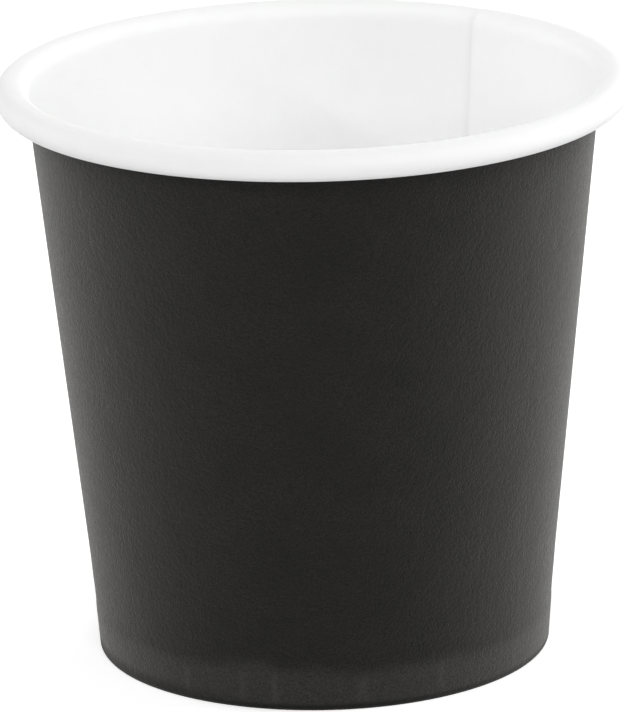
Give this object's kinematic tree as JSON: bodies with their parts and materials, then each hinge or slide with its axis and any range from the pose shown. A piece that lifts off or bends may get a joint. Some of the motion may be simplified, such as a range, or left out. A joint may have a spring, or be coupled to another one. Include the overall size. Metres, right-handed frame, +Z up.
{
  "type": "disposable espresso cup",
  "caption": "Single-wall paper espresso cup, about 110 ml, black outside and white inside, with a rolled rim and a folded hem foot.",
  "frame": {"origin": "centre of the foot, on the plane that the cup stands on", "axes": "+Z up along the cup's axis; the side seam lies towards +X +Y, at 54.4 degrees from +X"},
  "size_m": [0.062, 0.062, 0.058],
  "materials": {
    "printed_board": "matte",
    "white_board": "satin"
  },
  "bodies": {
    "root": {"sidewall": "printed_board", "base_disc": "white_board"}
  },
  "joints": []
}
